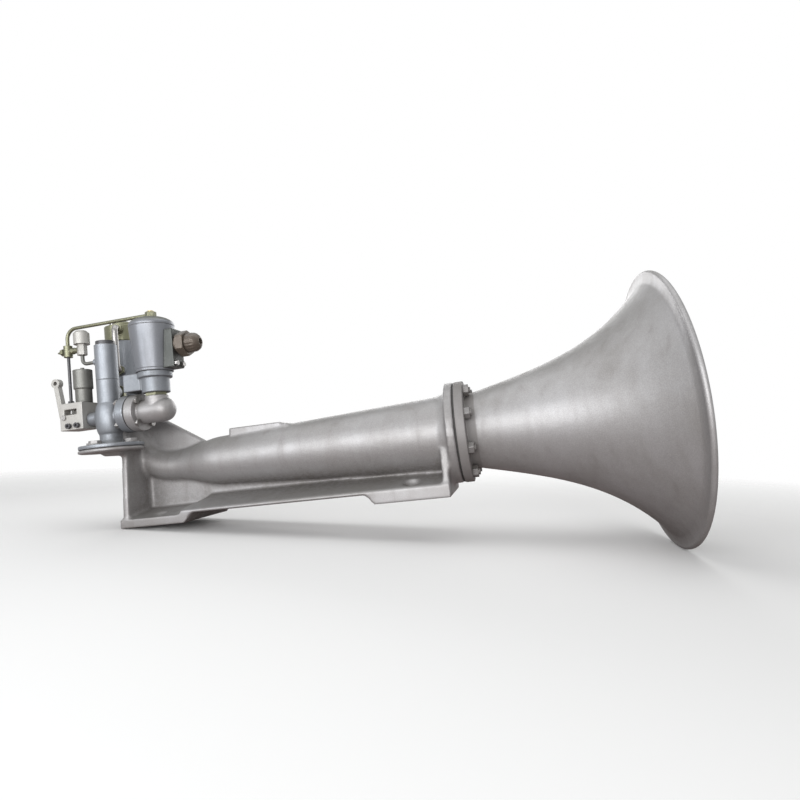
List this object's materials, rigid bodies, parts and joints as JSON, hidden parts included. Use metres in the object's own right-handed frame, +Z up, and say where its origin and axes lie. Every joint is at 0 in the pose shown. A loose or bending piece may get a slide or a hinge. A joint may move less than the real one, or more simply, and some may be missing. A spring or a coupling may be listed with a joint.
{
  "type": "ship's air horn",
  "caption": "Ship's air horn: flared bell on a footed cast body with a sound head, solenoid valve and hand lever valve.",
  "frame": {"origin": "centre of the four foot holes, on the plane the feet stand on", "axes": "+X along the horn axis towards the bell mouth, +Y to the side away from the valve gear, +Z up from the feet"},
  "size_m": [0.994, 0.415, 0.4865],
  "materials": {
    "cast": "satin silver-grey paint on a casting",
    "head": "satin blue-grey paint",
    "cover": "dulled, olive",
    "brass": "machined",
    "steel": "machined",
    "spring": "drawn wire",
    "gasket": "matte",
    "can": "semi-gloss",
    "bronze": "satin brown",
    "copper": "wound and varnished",
    "pale": "satin off-white",
    "dark": "satin"
  },
  "bodies": {
    "horn": {"horn_body": "cast", "bell": "cast", "bell_gasket": "gasket", "bell_studs": "steel", "bell_nuts": "cast", "head_gasket": "gasket", "head_body": "head", "head_liner": "brass", "head_studs": "steel", "head_cover": "cover", "cover_screws": "steel", "piston_spring": "spring", "balance_pipe": "steel", "balance_nuts": "cover", "air_link": "cover", "valve_body": "head", "foot_bolts": "steel", "valve_seat": "brass", "valve_spring": "spring", "valve_cylinder": "head", "cylinder_cap": "dark", "port_gasket": "gasket", "port_bolts": "steel", "feed_elbow": "cast", "feed_nipple": "can", "solenoid_body": "bronze", "body_plug": "steel", "core_tube": "brass", "plunger_spring": "spring", "coil": "copper", "solenoid_housing": "can", "housing_nut": "cover", "terminal_box": "bronze", "terminal_screws": "steel", "cable_gland": "bronze", "gland_nut": "bronze", "pilot_pipe": "steel", "pilot_tee": "cover", "bleed_plug": "cover", "drop_pipe": "dark", "shuttle_valve": "pale", "shuttle_pipe": "steel", "hand_block": "pale", "block_screws": "dark", "hand_bonnet": "pale", "lever_pin": "steel", "hand_spring": "spring"},
    "main_valve": {"valve_poppet": "steel", "poppet_seal": "gasket"},
    "piston": {"sound_piston": "steel"},
    "plunger": {"solenoid_plunger": "steel"},
    "lever": {"hand_lever": "pale"},
    "hand_valve": {"hand_plunger": "steel"}
  },
  "joints": [
    {"name": "main_valve_slide", "type": "slide", "parent": "horn", "child": "main_valve", "axis": [0, 0, 1], "range_m": [0, 0.008], "stiffness_N_per_m": 2000, "springref_m": -0.004, "deforming": ["valve_spring"]},
    {"name": "piston_slide", "type": "slide", "parent": "horn", "child": "piston", "axis": [0, 0, 1], "range_m": [0, 0.008], "stiffness_N_per_m": 2000, "springref_m": -0.004, "deforming": ["piston_spring"]},
    {"name": "plunger_slide", "type": "slide", "parent": "horn", "child": "plunger", "axis": [0, 0, 1], "range_m": [0, 0.006], "stiffness_N_per_m": 500, "springref_m": -0.004, "deforming": ["plunger_spring"]},
    {"name": "lever_hinge", "type": "hinge", "parent": "horn", "child": "lever", "pos_m": [-0.35, -0.08, 0.196], "axis": [0, -1, 0], "range_deg": [0, 10], "stiffness_Nm_per_rad": 1.5, "springref_deg": -8.59},
    {"name": "hand_valve_slide", "type": "slide", "parent": "horn", "child": "hand_valve", "axis": [0, 0, 1], "range_m": [0, 0.0045], "stiffness_N_per_m": 250, "springref_m": -0.003, "deforming": ["hand_spring"]}
  ],
  "couplings": [
    {"joint": "hand_valve_slide", "follows": "lever_hinge", "m_per_rad": 0.024}
  ]
}
